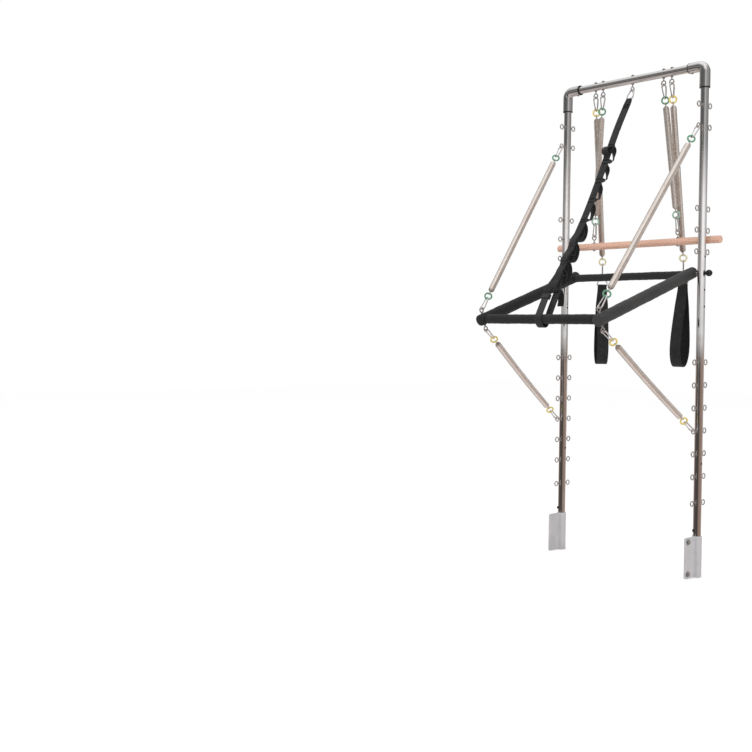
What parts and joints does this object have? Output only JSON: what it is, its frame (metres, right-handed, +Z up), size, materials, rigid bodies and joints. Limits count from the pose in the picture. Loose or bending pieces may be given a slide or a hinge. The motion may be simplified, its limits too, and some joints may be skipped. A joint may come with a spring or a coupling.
{
  "type": "pilates tower unit",
  "caption": "Upright pilates tower of chrome tube with a sprung push-through bar, a wooden roll-down bar, arm springs with webbing loops and a safety strap.",
  "frame": {"origin": "midway between the two posts, level with the lower ends of the sockets", "axes": "+X from the left post to the right post, -Y to the front where the push-through bar stands out, +Z up the posts"},
  "size_m": [0.83, 0.7361, 2.063],
  "materials": {
    "frame_chrome": "polished",
    "socket_chrome": "polished",
    "hook_steel": "polished",
    "spring_nickel": "drawn wire, satin",
    "green_coat": "semi-gloss",
    "yellow_coat": "semi-gloss",
    "foam": "closed-cell foam, matt",
    "webbing": "woven tape, matt",
    "beech": "clear satin varnish",
    "black_knob": "gloss",
    "bar_steel": "plain"
  },
  "bodies": {
    "frame": {"left_post": "frame_chrome", "right_post": "frame_chrome", "left_socket": "socket_chrome", "right_socket": "socket_chrome", "left_elbow": "frame_chrome", "right_elbow": "frame_chrome", "crossbar": "frame_chrome", "strap_snap": "hook_steel", "safety_strap": "webbing"},
    "push_bar": {"push_bar_frame": "bar_steel", "rear_foam": "foam", "front_foam": "foam", "left_arm_foam": "foam", "right_arm_foam": "foam"},
    "roll_down_set": {"roll_down_bar": "beech", "left_roll_down_upper_snap": "hook_steel", "left_roll_down_upper_ring": "green_coat", "left_roll_down_spring": "spring_nickel", "left_roll_down_lower_ring": "green_coat", "left_roll_down_lower_snap": "hook_steel", "right_roll_down_upper_snap": "hook_steel", "right_roll_down_upper_ring": "green_coat", "right_roll_down_spring": "spring_nickel", "right_roll_down_lower_ring": "green_coat", "right_roll_down_lower_snap": "hook_steel"},
    "left_long_post_link": {"left_long_upper_snap": "hook_steel", "left_long_upper_ring": "green_coat", "left_long_spring": "spring_nickel"},
    "left_long_bar_link": {"left_long_lower_snap": "hook_steel", "left_long_lower_ring": "green_coat"},
    "left_short_post_link": {"left_short_lower_snap": "hook_steel", "left_short_lower_ring": "yellow_coat"},
    "left_short_bar_link": {"left_short_upper_snap": "hook_steel", "left_short_upper_ring": "yellow_coat"},
    "left_short_coil": {"left_short_spring": "spring_nickel"},
    "right_long_post_link": {"right_long_upper_snap": "hook_steel", "right_long_upper_ring": "green_coat", "right_long_spring": "spring_nickel"},
    "right_long_bar_link": {"right_long_lower_snap": "hook_steel", "right_long_lower_ring": "green_coat"},
    "right_short_post_link": {"right_short_lower_snap": "hook_steel", "right_short_lower_ring": "yellow_coat"},
    "right_short_bar_link": {"right_short_upper_snap": "hook_steel", "right_short_upper_ring": "yellow_coat"},
    "right_short_coil": {"right_short_spring": "spring_nickel"},
    "left_arm_set": {"left_arm_upper_snap": "hook_steel", "left_arm_upper_ring": "yellow_coat", "left_arm_spring": "spring_nickel", "left_arm_lower_ring": "yellow_coat"},
    "left_arm_loop_set": {"left_arm_loop_snap": "hook_steel", "left_arm_loop": "webbing"},
    "right_arm_set": {"right_arm_upper_snap": "hook_steel", "right_arm_upper_ring": "yellow_coat", "right_arm_spring": "spring_nickel", "right_arm_lower_ring": "yellow_coat"},
    "right_arm_loop_set": {"right_arm_loop_snap": "hook_steel", "right_arm_loop": "webbing"},
    "left_pin": {"left_pivot_pin": "black_knob"},
    "right_pin": {"right_pivot_pin": "black_knob"}
  },
  "joints": [
    {"name": "push_bar_pivot", "type": "hinge", "parent": "frame", "child": "push_bar", "pos_m": [0, 0, 1.2145], "axis": [-1, 0, 0], "range_deg": [0, 38], "deforming": ["left_long_spring", "left_short_spring", "right_long_spring", "right_short_spring", "safety_strap"]},
    {"name": "left_long_post_link_turn", "type": "hinge", "parent": "frame", "child": "left_long_post_link", "pos_m": [-0.35, -0.039, 1.798], "axis": [-1, 0, 0], "range_deg": [0, 20]},
    {"name": "left_long_bar_link_turn", "type": "hinge", "parent": "push_bar", "child": "left_long_bar_link", "pos_m": [-0.3, -0.58194, 1.05923], "axis": [-1, 0, 0], "range_deg": [-21, 0]},
    {"name": "left_short_post_link_turn", "type": "hinge", "parent": "frame", "child": "left_short_post_link", "pos_m": [-0.35, -0.039, 0.584], "axis": [-1, 0, 0], "range_deg": [0, 20]},
    {"name": "left_short_bar_link_turn", "type": "hinge", "parent": "push_bar", "child": "left_short_bar_link", "pos_m": [-0.3, -0.55549, 0.98108], "axis": [-1, 0, 0], "range_deg": [-21, 0]},
    {"name": "left_short_coil_stretch", "type": "slide", "parent": "left_short_post_link", "child": "left_short_coil", "axis": [0.0765, -0.7905, 0.6077], "range_m": [0, 0.307]},
    {"name": "right_long_post_link_turn", "type": "hinge", "parent": "frame", "child": "right_long_post_link", "pos_m": [0.35, -0.039, 1.798], "axis": [-1, 0, 0], "range_deg": [0, 20]},
    {"name": "right_long_bar_link_turn", "type": "hinge", "parent": "push_bar", "child": "right_long_bar_link", "pos_m": [0.3, -0.58194, 1.05923], "axis": [-1, 0, 0], "range_deg": [-21, 0]},
    {"name": "right_short_post_link_turn", "type": "hinge", "parent": "frame", "child": "right_short_post_link", "pos_m": [0.35, -0.039, 0.584], "axis": [-1, 0, 0], "range_deg": [0, 20]},
    {"name": "right_short_bar_link_turn", "type": "hinge", "parent": "push_bar", "child": "right_short_bar_link", "pos_m": [0.3, -0.55549, 0.98108], "axis": [-1, 0, 0], "range_deg": [-21, 0]},
    {"name": "right_short_coil_stretch", "type": "slide", "parent": "right_short_post_link", "child": "right_short_coil", "axis": [-0.0765, -0.7905, 0.6077], "range_m": [0, 0.307]},
    {"name": "roll_down_swing", "type": "hinge", "parent": "frame", "child": "roll_down_set", "pos_m": [0, 0, 1.991], "axis": [1, 0, 0], "range_deg": [0, 30]},
    {"name": "left_arm_swing", "type": "hinge", "parent": "roll_down_set", "child": "left_arm_set", "pos_m": [-0.1945, 0, 1.991], "axis": [1, 0, 0], "range_deg": [0, 25]},
    {"name": "left_loop_swing", "type": "hinge", "parent": "left_arm_set", "child": "left_arm_loop_set", "pos_m": [-0.2103, 0.0864, 1.2726], "axis": [1, 0, 0], "range_deg": [-25, 25]},
    {"name": "right_arm_swing", "type": "hinge", "parent": "roll_down_set", "child": "right_arm_set", "pos_m": [0.1945, 0, 1.991], "axis": [1, 0, 0], "range_deg": [0, 25]},
    {"name": "right_loop_swing", "type": "hinge", "parent": "right_arm_set", "child": "right_arm_loop_set", "pos_m": [0.1986, 0.0977, 1.2738], "axis": [1, 0, 0], "range_deg": [-25, 25]},
    {"name": "left_pin_slide", "type": "slide", "parent": "frame", "child": "left_pin", "axis": [-1, 0, 0], "range_m": [0, 0.03]},
    {"name": "right_pin_slide", "type": "slide", "parent": "frame", "child": "right_pin", "axis": [1, 0, 0], "range_m": [0, 0.03]}
  ],
  "couplings": [
    {"joint": "left_long_post_link_turn", "follows": "push_bar_pivot", "ratio": 0.5179},
    {"joint": "left_long_bar_link_turn", "follows": "push_bar_pivot", "ratio": -0.4821},
    {"joint": "left_short_post_link_turn", "follows": "push_bar_pivot", "ratio": 0.4717},
    {"joint": "left_short_coil_stretch", "follows": "push_bar_pivot", "m_per_rad": 0.45989},
    {"joint": "left_short_bar_link_turn", "follows": "push_bar_pivot", "ratio": -0.5283},
    {"joint": "right_long_post_link_turn", "follows": "push_bar_pivot", "ratio": 0.5179},
    {"joint": "right_long_bar_link_turn", "follows": "push_bar_pivot", "ratio": -0.4821},
    {"joint": "right_short_post_link_turn", "follows": "push_bar_pivot", "ratio": 0.4717},
    {"joint": "right_short_coil_stretch", "follows": "push_bar_pivot", "m_per_rad": 0.45989},
    {"joint": "right_short_bar_link_turn", "follows": "push_bar_pivot", "ratio": -0.5283}
  ]
}
